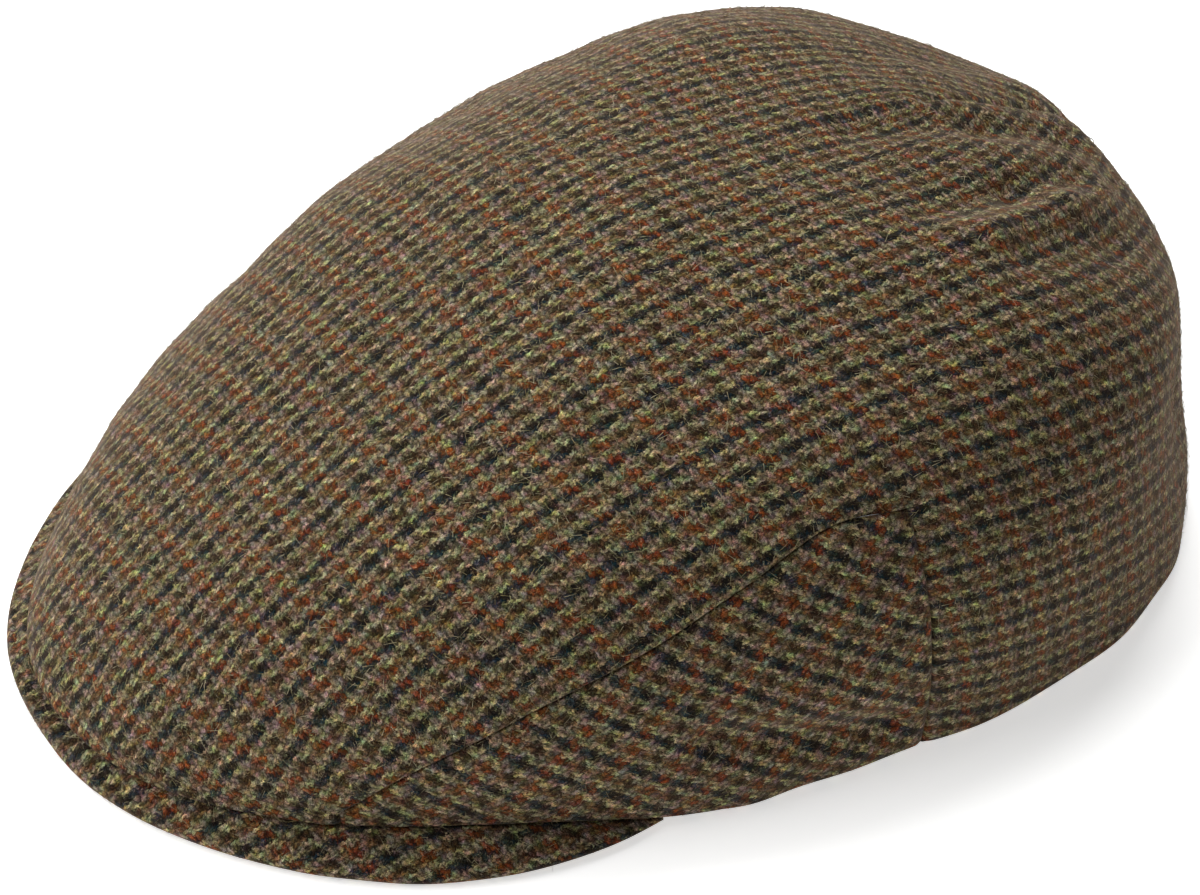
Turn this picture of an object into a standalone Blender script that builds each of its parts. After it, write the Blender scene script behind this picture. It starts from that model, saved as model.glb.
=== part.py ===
"""Flat cap: one-piece crown, two side panels and a stiff peak. Metres, +Z up, peak towards -Y."""

import math

import bpy
import numpy as np

# Rim in plan, outside the cloth. It runs ahead of and behind its widest line.
RIM_WIDTH = 0.1968
RIM_AHEAD = 0.1623
RIM_BEHIND = 0.1120
RIM_POWER_AHEAD = 2.05
RIM_POWER_BEHIND = 2.50

# Top of the crown: its height, and how far it lies ahead of the widest line
HEIGHT = 0.0985
TOP_AHEAD = 0.0080

# Cloth, and the clearance between two pieces that meet
CLOTH = 0.0020
GAP = 0.0003

# Peak board: thickness, the most that it stands out past the rim and droops at its edge, and
# how far it runs in from the rim at the front and at its sides
PEAK_THICK = 0.0042
PEAK_OUT = 0.0100
PEAK_DROOP = 0.0031
PEAK_DEPTH = 0.0567
PEAK_SIDE = 0.0050

# The peak rests on its drooped sides, and lifts the front of the rim by this much
FRONT_LIFT = PEAK_THICK + PEAK_DROOP + GAP

# Deepest dent
DENT = 0.0030

# Angles are in degrees from the peak (0) by the wearer's side (90) to the back (180).
RIM_ROWS = [
    # angle, height as a share of FRONT_LIFT
    (0, 1.065),
    (25, 1.040),
    (50, 1.012),
    (60, 0.882),
    (66, 0.583),
    (71, 0.260),
    (77, 0.052),
    (86, 0.168),
    (96, 0.000),
    (110, 0.000),
    (180, 0.000),
]

# Each profile rises from the rim at "lean" degrees above the outward level. The two handles
# are shares of HEIGHT (at the rim) and of the plan distance from rim to top (at the top).
PROFILE_ROWS = [
    # angle, lean, rim handle, top handle
    (0, 89.0, 0.14, 0.31),
    (30, 85.0, 0.29, 0.32),
    (60, 76.0, 0.57, 0.38),
    (90, 77.0, 0.86, 0.48),
    (120, 84.0, 1.05, 0.53),
    (150, 84.5, 1.02, 0.52),
    (180, 79.5, 1.05, 0.53),
]

# Slanted seam between crown and side panel
SEAM_ROWS = [
    # angle, share of the profile
    (42, 0.030),
    (48, 0.105),
    (58, 0.188),
    (68, 0.262),
    (78, 0.330),
    (86, 0.360),
    (91, 0.342),
]

# Peak's edge
PEAK_ROWS = [
    # angle, share of PEAK_OUT, of PEAK_DROOP, of PEAK_THICK
    (0, 0.350, 0.57, 1.00),
    (15, 0.505, 0.64, 1.00),
    (30, 0.690, 0.79, 1.00),
    (42, 0.925, 0.95, 1.00),
    (52, 1.000, 0.98, 1.00),
    (60, 0.800, 0.70, 0.86),
    (66, 0.405, 0.19, 0.58),
    (70, -0.056, 0.00, 0.40),
]

# The board's inner edge is part of the oval that the head goes in by. The oval's middle lies
# ahead of the widest line, and the board's ends are at OVAL_TURN times their angle on the rim.
OVAL_AHEAD = 0.0135
OVAL_TURN = 0.917

# Dents and swellings of the crown
DENT_ROWS = [
    # angle, share of the profile, angle spread, share spread, share of DENT (inwards is negative)
    (-62, 0.29, 12, 0.10, -0.73),
    (-170, 0.50, 16, 0.08, -0.80),
    (180, 0.39, 16, 0.06, 0.33),
    (140, 0.12, 20, 0.09, -1.00),
    (140, 0.28, 22, 0.08, 0.80),
]
DENT_FREE = 0.083  # share of the profile above the rim over which dents fade out

# Faces: columns over the front, over each side panel and over each half of the back
FRONT_COLUMNS = 10
PANEL_COLUMNS = 22
BACK_COLUMNS = 18
PEAK_COLUMNS = 48
SEAM_ROW = 6  # the row of the crown that follows the slanted seam
TOP_ROW = 19
PLAIN_SPLIT = 0.20  # where that row runs away from the panels, as a share of the profile
PLAIN_REACH = 22  # degrees over which it gets there

# Across the peak: shares from the edge in to the rim, and from there in to the oval
OUT_STEPS = (0.0, 0.3, 0.65, 1.0)
IN_STEPS = (0.15, 0.4, 0.7, 1.0)
TUCKED = 0.2  # share of the whole board that stands for the outer part where none stands out
DROOP_POWER = 1.6
NOSE_SIDES = 6

MATERIALS = {
    # piece: red, green, blue (linear), roughness
    "crown": (0.142, 0.112, 0.080, 0.95),
    "side_panel_left": (0.132, 0.104, 0.074, 0.95),
    "side_panel_right": (0.132, 0.104, 0.074, 0.95),
    "peak": (0.125, 0.098, 0.071, 0.95),
}


def across(rows, column, angle):
    """A column of a table at any angle: smooth, and the same on both sides of the cap."""
    stations = [row[0] for row in rows]
    values = [row[column] for row in rows]
    if stations[0] == 0:
        stations = [-stations[1]] + stations
        values = [values[1]] + values
    if stations[-1] == 180:
        stations = stations + [360 - stations[-2]]
        values = values + [values[-2]]
    stations = np.array(stations, float)
    values = np.array(values, float)
    slopes = np.gradient(values, stations)
    x = np.clip(abs((angle + 180) % 360 - 180), stations[0], stations[-1])
    i = int(np.clip(np.searchsorted(stations, x, side="right") - 1, 0, len(stations) - 2))
    h = stations[i + 1] - stations[i]
    t = (x - stations[i]) / h
    return float(
        (2 * t**3 - 3 * t**2 + 1) * values[i]
        + (t**3 - 2 * t**2 + t) * h * slopes[i]
        + (3 * t**2 - 2 * t**3) * values[i + 1]
        + (t**3 - t**2) * h * slopes[i + 1]
    )


def rim(angle):
    """The point of the rim's outer edge at an angle. Y is measured from the widest line."""
    c, s = math.cos(math.radians(angle)), math.sin(math.radians(angle))
    power, reach = (RIM_POWER_AHEAD, RIM_AHEAD) if c > 0 else (RIM_POWER_BEHIND, RIM_BEHIND)
    x = RIM_WIDTH / 2 * math.copysign(abs(s) ** (2 / power), s)
    y = -reach * math.copysign(abs(c) ** (2 / power), c)
    return np.array([x, y, max(0.0, FRONT_LIFT * across(RIM_ROWS, 1, angle))])


def profile(angle, share):
    """A point of the crown's outer face before dents: share 0 is the rim, 1 is the top."""
    foot = rim(angle)
    out = np.array([foot[0], foot[1] + TOP_AHEAD])
    reach = float(np.hypot(*out))
    out = out / reach
    lean = math.radians(across(PROFILE_ROWS, 1, angle))
    low = HEIGHT * across(PROFILE_ROWS, 2, angle)
    high = across(PROFILE_ROWS, 3, angle)
    u = 1 - share
    weights = (u**3, 3 * u * u * share, 3 * u * share**2, share**3)
    radii = (reach, reach + low * math.cos(lean), reach * high, 0.0)
    heights = (foot[2], foot[2] + low * math.sin(lean), HEIGHT, HEIGHT)
    r = sum(w * v for w, v in zip(weights, radii))
    z = sum(w * v for w, v in zip(weights, heights))
    return np.array([out[0] * r, out[1] * r - TOP_AHEAD, z])


def slopes(angle, share):
    """How the crown's face runs there: per degree round the cap, and per share up it."""
    step = 0.004
    low, high = max(share - step, 0.0), min(share + step, 1.0)
    round_it = profile(angle + 0.5, share) - profile(angle - 0.5, share)
    up_it = (profile(angle, high) - profile(angle, low)) / (high - low)
    return round_it, up_it


def normal(angle, share):
    """The outward normal. It is level at the rim, so that the turned edge is square to the floor."""
    if share > 0.995:
        return np.array([0.0, 0.0, 1.0])
    n = np.cross(*slopes(angle, share))
    if share < 1e-6:
        n[2] = 0.0
    return n / np.linalg.norm(n)


def surface(angle, share):
    """The crown's outer face with its dents, and its normal there."""
    n = normal(angle, share)
    push = 0.0
    for at, where, wide, tall, depth in DENT_ROWS:
        turn = (angle - at + 180) % 360 - 180
        push += DENT * depth * math.exp(-((turn / wide) ** 2) - ((share - where) / tall) ** 2)
    return profile(angle, share) + push * min(1.0, share / DENT_FREE) * n, n


def seam(angle):
    return across(SEAM_ROWS, 1, min(max(abs(angle), SEAM_ROWS[0][0]), SEAM_ROWS[-1][0]))


def clear_of(edge, step):
    """How many steps away from a line along edge are GAP away from it."""
    return GAP * float(np.linalg.norm(edge) / np.linalg.norm(np.cross(edge, step)))


def add_piece(name, points, faces):
    mesh = bpy.data.meshes.new(name)
    mesh.from_pydata([tuple(map(float, p)) for p in points], [], faces)
    mesh.update()
    mesh.shade_smooth()
    mesh.set_sharp_from_angle(angle=math.radians(40))
    red, green, blue, rough = MATERIALS[name]
    cloth = bpy.data.materials.new(name + "_cloth")
    cloth.use_nodes = True
    shader = cloth.node_tree.nodes["Principled BSDF"]
    shader.inputs["Base Color"].default_value = (red, green, blue, 1.0)
    shader.inputs["Roughness"].default_value = rough
    shader.inputs["Metallic"].default_value = 0.0
    mesh.materials.append(cloth)
    piece = bpy.data.objects.new(name, mesh)
    bpy.context.scene.collection.objects.link(piece)
    return piece


def thick_sheet(name, points, normals, faces):
    """A closed sheet: the outer face, an inner face CLOTH inside it, and walls along every edge."""
    used = sorted({i for face in faces for i in face})
    new = {old: k for k, old in enumerate(used)}
    faces = [tuple(new[i] for i in face) for face in faces]
    outer = [points[i] for i in used]
    inner = [points[i] - CLOTH * normals[i] for i in used]
    n = len(outer)
    edges = {(a, b) for face in faces for a, b in zip(face, face[1:] + face[:1])}
    walls = [(b, a, a + n, b + n) for a, b in sorted(edges) if (b, a) not in edges]
    backs = [tuple(i + n for i in reversed(face)) for face in faces]
    return add_piece(name, outer + inner, faces + backs + walls)


def crown():
    """Columns go round the cap and rows go up it. Row SEAM_ROW follows the slanted seam."""
    first, last = SEAM_ROWS[0][0], SEAM_ROWS[-1][0]
    half = list(np.linspace(0, first, FRONT_COLUMNS, endpoint=False))
    half += list(np.linspace(first, last, PANEL_COLUMNS, endpoint=False))
    half += list(np.linspace(last, 180, BACK_COLUMNS + 1))
    angles = [-a for a in reversed(half[1:-1])] + half
    columns, rows = len(angles), TOP_ROW
    points, normals = [], []
    for angle in angles:
        away = max(first - abs(angle), abs(angle) - last, 0.0)
        plain = min(1.0, away / PLAIN_REACH)
        split = seam(angle) + (PLAIN_SPLIT - seam(angle)) * plain * plain * (3 - 2 * plain)
        for row in range(rows):
            if row <= SEAM_ROW:
                share = split * row / SEAM_ROW
            else:
                share = split + (1 - split) * (row - SEAM_ROW) / (TOP_ROW - SEAM_ROW)
            p, n = surface(angle, share)
            points.append(p)
            normals.append(n)
    top, up = surface(0.0, 1.0)
    points.append(top)
    normals.append(up)
    faces = []
    for c in range(columns):
        d = (c + 1) % columns
        middle = abs((angles[c] + (angles[d] if d else 180.0)) / 2)
        for row in range(rows - 1):
            if row < SEAM_ROW and first < middle < last:
                continue
            a, b = c * rows + row, d * rows + row
            faces.append((a, b, b + 1, a + 1))
        faces.append((c * rows + rows - 1, d * rows + rows - 1, columns * rows))
    return thick_sheet("crown", points, normals, faces)


def side_panel(name, side):
    """The panel fills its opening in the crown, GAP inside each seam."""
    first, last = SEAM_ROWS[0][0], SEAM_ROWS[-1][0]
    start = first + clear_of(*reversed(slopes(first, seam(first))))
    end = last - clear_of(*reversed(slopes(last, seam(last))))
    rows = SEAM_ROW + 1
    points, normals = [], []
    for angle in np.linspace(start, end, PANEL_COLUMNS + 1):
        ahead = profile(angle + 0.2, seam(angle + 0.2)) - profile(angle - 0.2, seam(angle - 0.2))
        top = seam(angle) - clear_of(ahead, slopes(angle, seam(angle))[1])
        for row in range(rows):
            p, n = surface(side * angle, top * row / (rows - 1))
            points.append(p)
            normals.append(n)
    faces = []
    for c in range(PANEL_COLUMNS):
        for row in range(rows - 1):
            a, b = c * rows + row, (c + 1) * rows + row
            face = (a, b, b + 1, a + 1)
            faces.append(face if side > 0 else face[::-1])
    return thick_sheet(name, points, normals, faces)


def oval(angle):
    """The point of the board's inner edge that belongs to an angle on the rim."""
    turn = math.radians(angle * OVAL_TURN)
    half_width = RIM_WIDTH / 2 - PEAK_SIDE
    half_length = RIM_AHEAD - PEAK_DEPTH - OVAL_AHEAD
    return np.array([half_width * math.sin(turn), -OVAL_AHEAD - half_length * math.cos(turn)])


def peak_section(angle):
    """The peak cut across at an angle: a loop of points from the upper inner corner outwards."""
    foot = rim(angle)
    ahead = rim(angle + 0.5) - rim(angle - 0.5)
    out = np.array([ahead[1], -ahead[0]])
    out = out / np.linalg.norm(out)
    outset = PEAK_OUT * across(PEAK_ROWS, 1, angle)
    droop = PEAK_DROOP * across(PEAK_ROWS, 2, angle)
    thick = PEAK_THICK * across(PEAK_ROWS, 3, angle)
    nose = thick / 2
    inner = oval(angle)
    start = foot[:2] + out * (outset - nose)
    under = foot[:2] if outset > nose + CLOTH else start + (inner - start) * TUCKED
    plan = [start + (under - start) * s for s in OUT_STEPS]
    plan += [under + (inner - under) * s for s in IN_STEPS]
    drops = [droop * (1 - s) ** DROOP_POWER for s in OUT_STEPS] + [0.0] * len(IN_STEPS)
    upper = [np.array([*p, foot[2] - GAP - d]) for p, d in zip(plan, drops)]
    lower = [p - np.array([0, 0, thick]) for p in upper]
    centre = (upper[0] + lower[0]) / 2
    rounded = []
    for k in range(1, NOSE_SIDES):
        a = math.pi / 2 - math.pi * k / NOSE_SIDES
        rounded.append(centre + np.array([*(out * nose * math.cos(a)), nose * math.sin(a)]))
    return upper[::-1] + rounded + lower


def peak():
    last = PEAK_ROWS[-1][0]
    loops = [peak_section(angle) for angle in np.linspace(-last, last, PEAK_COLUMNS + 1)]
    n = len(loops[0])
    points = [p for loop in loops for p in loop]
    faces = []
    for c in range(PEAK_COLUMNS):
        for k in range(n):
            a, b = c * n + k, c * n + (k + 1) % n
            faces.append((a, b, b + n, a + n))
    for c, turned in ((0, True), (PEAK_COLUMNS, False)):
        points.append(sum(loops[c]) / n)
        for k in range(n):
            a, b = c * n + k, c * n + (k + 1) % n
            face = (len(points) - 1, a, b)
            faces.append(face[::-1] if turned else face)
    return add_piece("peak", points, faces)


def middle_y():
    """Halfway from the peak's front edge to the furthest point of the back."""
    front = rim(0)[1] - PEAK_OUT * PEAK_ROWS[0][1]
    back = max(surface(180, share)[0][1] for share in np.linspace(0, 0.5, 51))
    return (front + back) / 2


for old in list(bpy.data.objects):
    bpy.data.objects.remove(old, do_unlink=True)
pieces = [crown(), side_panel("side_panel_left", 1), side_panel("side_panel_right", -1), peak()]
for piece in pieces:
    piece.location.y = -middle_y()
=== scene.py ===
# Flat cap in a coarse woollen tweed: crown, two side panels and a boarded peak.
# Lengths in the dictionaries are millimetres, and metres for the camera, the studio and in the meshes.
import math

import bmesh
import bpy
import numpy as np
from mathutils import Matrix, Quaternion, Vector


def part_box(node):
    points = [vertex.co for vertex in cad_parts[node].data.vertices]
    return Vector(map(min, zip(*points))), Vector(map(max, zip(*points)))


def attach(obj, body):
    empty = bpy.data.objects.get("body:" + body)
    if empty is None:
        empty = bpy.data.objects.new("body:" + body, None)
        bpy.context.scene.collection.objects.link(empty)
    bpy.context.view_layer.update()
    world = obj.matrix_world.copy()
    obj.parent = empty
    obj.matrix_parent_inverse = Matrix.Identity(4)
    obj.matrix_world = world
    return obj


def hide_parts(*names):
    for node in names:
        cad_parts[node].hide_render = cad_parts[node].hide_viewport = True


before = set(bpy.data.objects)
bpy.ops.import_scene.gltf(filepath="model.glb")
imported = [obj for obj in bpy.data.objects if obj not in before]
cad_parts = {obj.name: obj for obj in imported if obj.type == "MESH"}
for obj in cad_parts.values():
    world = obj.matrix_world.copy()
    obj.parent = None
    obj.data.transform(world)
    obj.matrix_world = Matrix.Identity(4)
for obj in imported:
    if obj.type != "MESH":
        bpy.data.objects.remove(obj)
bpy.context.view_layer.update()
mm = 0.001
clear = 0.05    # mm that the cloth stays off the floor

cap = {
    "rimWidth": 196.8,      # plan of the rim, outside the cloth
    "rimAhead": 162.3,      # from the widest line to the front
    "rimBehind": 112.0,
    "powerAhead": 2.05,
    "powerBehind": 2.50,
    "height": 98.5,
    "topAhead": 8.0,
    "frontLift": 7.6,       # the peak lifts the front of the rim
    "cloth": 2.0,
    "dent": 3.0,            # the deepest dent
    "dentFree": 0.083,      # share of the profile, from the rim, over which dents fade out
}
rimRows = [  # angle from the peak round to the back, height as a share of frontLift
    (0, 1.065), (25, 1.040), (50, 1.012), (60, 0.882), (66, 0.583), (71, 0.260),
    (77, 0.052), (86, 0.168), (96, 0.0), (110, 0.0), (180, 0.0),
]
profileRows = [  # angle, lean in degrees, handle at the rim, handle at the top
    (0, 89.0, 0.14, 0.31), (30, 85.0, 0.29, 0.32), (60, 76.0, 0.57, 0.38), (90, 77.0, 0.86, 0.48),
    (120, 84.0, 1.05, 0.53), (150, 84.5, 1.02, 0.52), (180, 79.5, 1.05, 0.53),
]
seamRows = [  # angle, share of the way up the profile
    (42, 0.030), (48, 0.105), (58, 0.188), (68, 0.262), (78, 0.330), (86, 0.360), (91, 0.342),
]
dentRows = [  # angle, share, spread in angle, spread in share, share of dent
    (-62, 0.29, 12, 0.10, -0.73), (-170, 0.50, 16, 0.08, -0.80), (180, 0.39, 16, 0.06, 0.33),
    (140, 0.12, 20, 0.09, -1.00), (140, 0.28, 22, 0.08, 0.80),
]
seamFirst, seamLast = seamRows[0][0], seamRows[-1][0]
mmPerDegree = 1.7   # round the cap, by the panels
girthShare = 0.12   # share of the profile at which lengths round the cap are measured


def tableAt(rows, column, angle):  # smooth curve through a column of a table, the same on both sides
    stations = [row[0] for row in rows]
    values = [row[column] for row in rows]
    if stations[0] == 0:
        stations = [-stations[1]] + stations
        values = [values[1]] + values
    if stations[-1] == 180:
        stations = stations + [360 - stations[-2]]
        values = values + [values[-2]]
    stations = np.array(stations, float)
    values = np.array(values, float)
    slopes = np.gradient(values, stations)
    x = np.clip(np.abs((np.asarray(angle, float) + 180) % 360 - 180), stations[0], stations[-1])
    i = np.clip(np.searchsorted(stations, x, side="right") - 1, 0, len(stations) - 2)
    h = stations[i + 1] - stations[i]
    t = (x - stations[i]) / h
    return (
        (2 * t**3 - 3 * t**2 + 1) * values[i] + (t**3 - 2 * t**2 + t) * h * slopes[i]
        + (3 * t**2 - 2 * t**3) * values[i + 1] + (t**3 - t**2) * h * slopes[i + 1]
    )


def rimAt(angle):
    a = np.radians(angle)
    c, s = np.cos(a), np.sin(a)
    power = np.where(c > 0, cap["powerAhead"], cap["powerBehind"])
    reach = np.where(c > 0, cap["rimAhead"], cap["rimBehind"])
    x = cap["rimWidth"] / 2 * np.sign(s) * np.abs(s) ** (2 / power)
    y = -reach * np.sign(c) * np.abs(c) ** (2 / power)
    z = np.maximum(0.0, cap["frontLift"] * tableAt(rimRows, 1, angle))
    return np.stack([x, y, z], -1)


def profileAt(angle, share):
    angle, share = np.broadcast_arrays(np.asarray(angle, float), np.asarray(share, float))
    foot = rimAt(angle)
    out = np.stack([foot[..., 0], foot[..., 1] + cap["topAhead"]], -1)
    reach = np.linalg.norm(out, axis=-1)
    out = out / reach[..., None]
    lean = np.radians(tableAt(profileRows, 1, angle))
    low = cap["height"] * tableAt(profileRows, 2, angle)
    high = tableAt(profileRows, 3, angle)
    u = 1 - share
    w0, w1, w2, w3 = u**3, 3 * u * u * share, 3 * u * share**2, share**3
    r = w0 * reach + w1 * (reach + low * np.cos(lean)) + w2 * reach * high
    z = w0 * foot[..., 2] + w1 * (foot[..., 2] + low * np.sin(lean)) + (w2 + w3) * cap["height"]
    return np.stack([out[..., 0] * r, out[..., 1] * r - cap["topAhead"], z], -1)


def normalAt(angle, share):
    near, beside = 0.004, 0.5   # share and degrees over which the slope is taken
    low, high = np.maximum(share - near, 0), np.minimum(share + near, 1)
    n = np.cross(
        profileAt(angle + beside, share) - profileAt(angle - beside, share),
        profileAt(angle, high) - profileAt(angle, low),
    )
    n = np.where((share > 0.995)[..., None], np.array([0, 0, 1.0]), n)  # straight up at the very top
    n[..., 2] = np.where(share < 1e-6, 0, n[..., 2])    # and level at the rim, which keeps its edge flat
    return n / np.linalg.norm(n, axis=-1, keepdims=True)


def surfaceAt(angle, share):
    angle, share = np.broadcast_arrays(np.asarray(angle, float), np.asarray(share, float))
    n = normalAt(angle, share)
    push = 0
    for at, where, wide, tall, depth in dentRows:
        turn = (angle - at + 180) % 360 - 180
        push = push + cap["dent"] * depth * np.exp(-((turn / wide) ** 2) - ((share - where) / tall) ** 2)
    push = push * np.minimum(1, share / cap["dentFree"])
    return profileAt(angle, share) + push[..., None] * n, n


def seamAt(angle):
    return tableAt(seamRows, 1, np.clip(np.abs(angle), seamFirst, seamLast))


def lengthUp(angle, count=80):  # of each profile, from the rim to the top
    line = profileAt(np.asarray(angle, float)[:, None], np.linspace(0, 1, count)[None, :])
    return np.linalg.norm(np.diff(line, axis=1), axis=-1).sum(1)


def lengthRound(angles):  # from the first of the angles to each
    line = profileAt(angles, girthShare)
    return np.concatenate([[0], np.cumsum(np.linalg.norm(np.diff(line, axis=0), axis=1))])


def degreeAt(angle, share):  # how much cloth lies in one degree round the cap
    return np.linalg.norm(profileAt(angle + 0.5, share) - profileAt(angle - 0.5, share), axis=-1)


soft = {  # how the cloth departs from the even form
    "depth": 0.26,
    "waves": [  # length, direction in plan, phase, direction up the cap, share of depth
        (43, 0.3, 1.1, 0.2, 0.9), (31, 1.7, 0.4, 1.3, 0.7),
        (57, 0.9, 1.9, 0.6, 1.2), (24, 2.4, 0.7, 2.9, 0.45),
    ],
    "foldsFade": 12.0,      # height over which waves and folds fade out towards the rim
    "seamDip": 0.5,         # the cloth is drawn down to a seam
    "seamReach": 1.9,
    "pucker": 0.26,         # and puckers beside it
    "puckerEvery": 9.5,
    "puckerWander": (1.7, 13.0),
    "puckerReach": 7.0,
    "puckerFree": 1.5,      # none this close to the seam
    "edgeRound": 0.65,      # radius of a turned edge
    "dimple": {"angle": 89.0, "above": 2.2, "long": 5.5, "wide": 1.2, "deep": 1.1},  # over the panel's corner
    "ripple": 0.35,         # the rim behind the peak isn't quite even
    "ripples": 21,          # round the cap
    "rippleWander": (1.3, 5),
    "rippleReach": 8.0,
    "rippleBehind": 0.35,   # cosine of the angle from which it starts, where the peak ends
    "backDip": 0.75,        # the seam down the back
    "backReach": 1.5, "backPower": 1.3,
    "backPucker": 0.8,      # share of pucker
    "backPuckerReach": 9.0, "backPuckerEvery": 1.6, "backPuckerFree": 2.0,
    "backSlit": 0.66,       # share of the back's profile up to which this seam runs
    "backFade": (0.09, 0.03),   # shares below and past that over which it fades out
}
edgeSteps = np.array([0, 0.10, 0.28, 0.55, 0.95, 1.5, 2.3, 3.4])   # mm in from a turned edge
folds = [  # from, to (each an angle and a share), half width, height; a hollow is below nought
    ((175, 0.755), (174, 0.585), 5.5, -1.9), ((174, 0.585), (174, 0.430), 5.5, -2.3),
    ((-168, 0.580), (-176, 0.420), 7.0, 1.0), ((-166, 0.415), (-164, 0.600), 12.0, -1.7),
    ((137, 0.665), (152, 0.565), 5.0, -1.7), ((152, 0.565), (163, 0.460), 5.0, -2.0),
    ((128, 0.620), (134, 0.580), 4.5, 1.3), ((134, 0.580), (154, 0.480), 4.5, 1.8),
    ((154, 0.480), (162, 0.400), 4.5, 1.4), ((130, 0.520), (150, 0.390), 6.0, -1.8),
    ((158, 0.350), (170, 0.370), 10.0, -1.5), ((145, 0.120), (146, 0.180), 7.0, -1.4),
    ((-60, 0.290), (-56, 0.330), 9.0, -1.0), ((-88, 0.525), (-82, 0.525), 12.0, -1.4),
    ((-135, 0.520), (-126, 0.520), 12.0, -1.5), ((74, 0.120), (88, 0.050), 5.0, -2.8),
]


def slack(p):  # gentle uneven swell of soft cloth, from the place alone, so that it runs on over seams
    total = 0
    for length, a, b, c, share in soft["waves"]:
        k = 2 * math.pi / length
        total = total + share * np.sin(k * (p[..., 0] * math.cos(a) + p[..., 1] * math.sin(a)) + b) * np.sin(
            k * (p[..., 2] * math.cos(c) + p[..., 1] * math.sin(c)) + c * 2
        )
    total = soft["depth"] * (total - 1)
    for start, end, wide, high in folds:
        a, b = surfaceAt(*start)[0], surfaceAt(*end)[0]
        t = np.clip(((p - a) @ (b - a)) / ((b - a) @ (b - a)), 0, 1)
        total = total + high * np.exp(-(((p - a - t[..., None] * (b - a)) ** 2).sum(-1)) / wide**2)
    around = np.arctan2(p[..., 0], -p[..., 1] - cap["topAhead"])
    by, often = soft["rippleWander"]
    ripple = np.sin(soft["ripples"] * around + by * np.sin(often * around))
    ripple = ripple * np.exp(-p[..., 2] / soft["rippleReach"]) * (np.cos(around) < soft["rippleBehind"])
    return total * np.clip(p[..., 2] / soft["foldsFade"], 0, 1) + soft["ripple"] * ripple


def seamShape(distance, along):  # the cloth's height near a seam, along being the distance along it
    dip = -soft["seamDip"] * np.exp(-((distance / soft["seamReach"]) ** 2))
    by, over = soft["puckerWander"]
    wave = np.sin(2 * math.pi * along / soft["puckerEvery"] + by * np.sin(along / over))
    wave = soft["pucker"] * wave * np.exp(-distance / soft["puckerReach"])
    return dip + wave * np.clip(distance / soft["puckerFree"], 0, 1)


def skins(p, n, push, edge):  # both faces of the cloth, which meet in a round where edge is nought
    half = cap["cloth"] / 2
    t = np.clip(edge / soft["edgeRound"], 0, 1)
    full = np.sqrt(np.maximum(0, 1 - (1 - t) ** 2))
    middle = p + (push - half)[..., None] * n
    outer = middle + (half * full)[..., None] * n
    inner = middle - (half * full)[..., None] * n
    outer[..., 2] = np.maximum(outer[..., 2], clear)
    inner[..., 2] = np.maximum(inner[..., 2], clear)
    return outer, inner


def shellObject(name, outer, inner, uv, used, wrap=False, pole=None):  # a closed mesh of the two skins
    columns, rows = outer.shape[:2]
    index = np.arange(columns * rows).reshape(columns, rows)
    lattice = index.copy()
    if wrap:
        index[-1] = index[0]
    quads, corners = [
        np.stack([a[:-1, :-1], a[1:, :-1], a[1:, 1:], a[:-1, 1:]], -1)[used] for a in (index, lattice)
    ]
    inside = columns * rows
    points = np.concatenate([outer.reshape(-1, 3), inner.reshape(-1, 3)])
    uvs = np.concatenate([uv.reshape(-1, 2)] * 2)
    faces = [tuple(f) for f in quads] + [tuple(f) for f in quads[:, ::-1] + inside]
    faceUv = np.concatenate([corners, corners[:, ::-1] + inside]).reshape(-1)
    if pole is not None:
        top = len(points)
        points = np.concatenate([points, pole["points"]])
        uvs = np.concatenate([uvs, [pole["uv"]] * 2])
        a, b = index[:-1, -1], index[1:, -1]
        c, d = lattice[:-1, -1], lattice[1:, -1]
        faces += [(i, j, top) for i, j in zip(a, b)]
        faces += [(j + inside, i + inside, top + 1) for i, j in zip(a, b)]
        fan = np.stack([c, d, np.full(len(c), top)], -1)
        fanInside = np.stack([d + inside, c + inside, np.full(len(c), top + 1)], -1)
        faceUv = np.concatenate([faceUv, fan.reshape(-1), fanInside.reshape(-1)])
    mesh = bpy.data.meshes.new(name)
    mesh.from_pydata([tuple(q) for q in points * mm], [], faces)
    layer = mesh.uv_layers.new(name="cloth")
    layer.data.foreach_set("uv", (uvs[faceUv] * mm).astype(np.float32).reshape(-1))
    outward = [min(face) < inside for face in faces]
    mesh.attributes.new("hairy", "BOOLEAN", "FACE").data.foreach_set("value", outward)
    mesh.polygons.foreach_set("use_smooth", np.ones(len(mesh.polygons), bool))
    return finished(name, mesh)


weldWithin = 0.008  # mm


def finished(name, mesh):  # welds what coincides and drops what no face uses
    work = bmesh.new()
    work.from_mesh(mesh)
    bmesh.ops.delete(work, geom=[v for v in work.verts if not v.link_faces], context="VERTS")
    bmesh.ops.remove_doubles(work, verts=work.verts, dist=weldWithin * mm)
    work.to_mesh(mesh)
    work.free()
    mesh.update()
    piece = bpy.data.objects.new(name, mesh)
    bpy.context.scene.collection.objects.link(piece)
    return piece


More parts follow.
